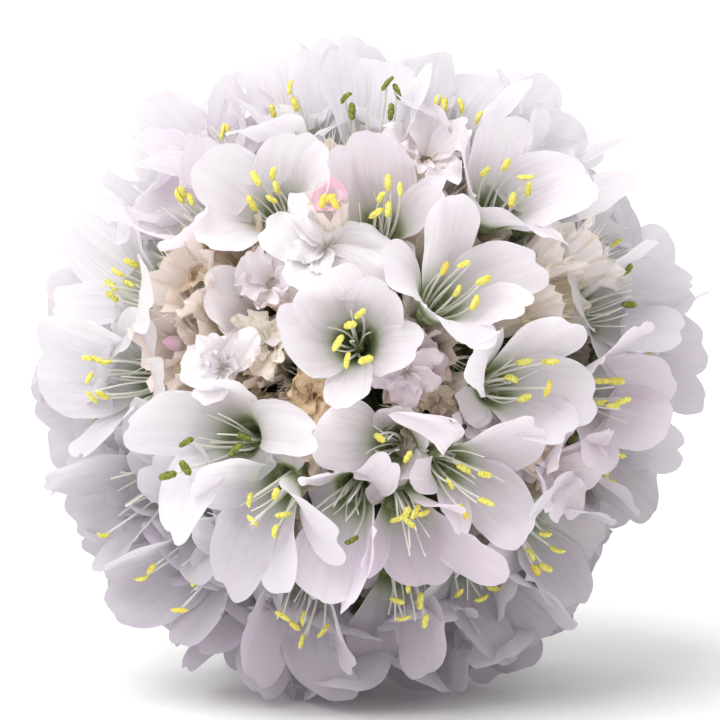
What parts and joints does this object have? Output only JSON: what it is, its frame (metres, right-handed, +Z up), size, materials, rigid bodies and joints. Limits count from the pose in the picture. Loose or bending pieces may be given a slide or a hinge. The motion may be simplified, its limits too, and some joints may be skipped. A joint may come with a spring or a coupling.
{
  "type": "sea thrift flower, cut",
  "caption": "Cut white sea thrift: a round head of small five-petalled florets with yellow anthers, on a bare stem with a papery sheath, lying on a surface.",
  "frame": {"origin": "on the surface the flower lies on, under the middle of its box", "axes": "+Z up from the surface, +Y from the head along the stem to its cut end, so the head faces -Y and tilts up by 8 degrees"},
  "size_m": [0.033, 0.1424, 0.0318],
  "materials": {
    "petal": "soft white petals with a pink-lilac breath, fine veins",
    "faded_petal": "crumpled, dry, pinkish",
    "calyx": "papery, pleated, silky-haired",
    "bract": "dry, papery, matt",
    "sheath": "dry, papery, matt",
    "stem": "fresh green, satin, finely ribbed"
  },
  "bodies": {
    "root": {"receptacle": "calyx", "involucre": "bract", "sheath": "sheath", "scape": "stem", "floret_back_1": "petal", "floret_back_2": "petal", "floret_back_3": "petal", "floret_back_4": "petal", "floret_back_5": "petal", "floret_back_6": "petal", "floret_back_7": "petal", "floret_back_8": "petal", "floret_back_9": "petal", "floret_crown_left": "petal", "floret_crown_right": "petal", "floret_edge_left": "petal", "floret_edge_left_high": "petal", "floret_edge_left_low": "petal", "floret_edge_right": "petal", "floret_edge_right_low": "petal", "floret_faded_left": "faded_petal", "floret_faded_right": "faded_petal", "floret_faded_right_low": "faded_petal", "floret_foot": "petal", "floret_foot_left": "petal", "floret_foot_right": "petal", "floret_front": "petal", "floret_front_low": "petal", "floret_left_high": "petal", "floret_left_low": "petal", "floret_low": "petal", "floret_low_left": "petal", "floret_low_left_back": "petal", "floret_low_right": "petal", "floret_low_right_back": "petal", "floret_right": "petal", "floret_right_high": "petal", "floret_right_low": "petal", "floret_right_upper": "petal", "floret_rim_foot": "petal", "floret_rim_foot_left": "petal", "floret_rim_foot_right": "petal", "floret_rim_left": "petal", "floret_rim_left_high": "petal", "floret_rim_low_left": "petal", "floret_rim_low_right": "petal", "floret_rim_right_high": "petal", "floret_rim_right_low": "petal", "floret_rim_top": "petal", "floret_shoulder_left": "petal", "floret_shoulder_left_back": "petal", "floret_shoulder_right": "petal", "floret_side_left": "petal", "floret_side_left_high": "petal", "floret_side_right": "petal", "floret_side_right_back": "petal", "floret_side_right_high": "petal", "floret_top": "petal", "floret_top_back": "petal"}
  },
  "joints": []
}
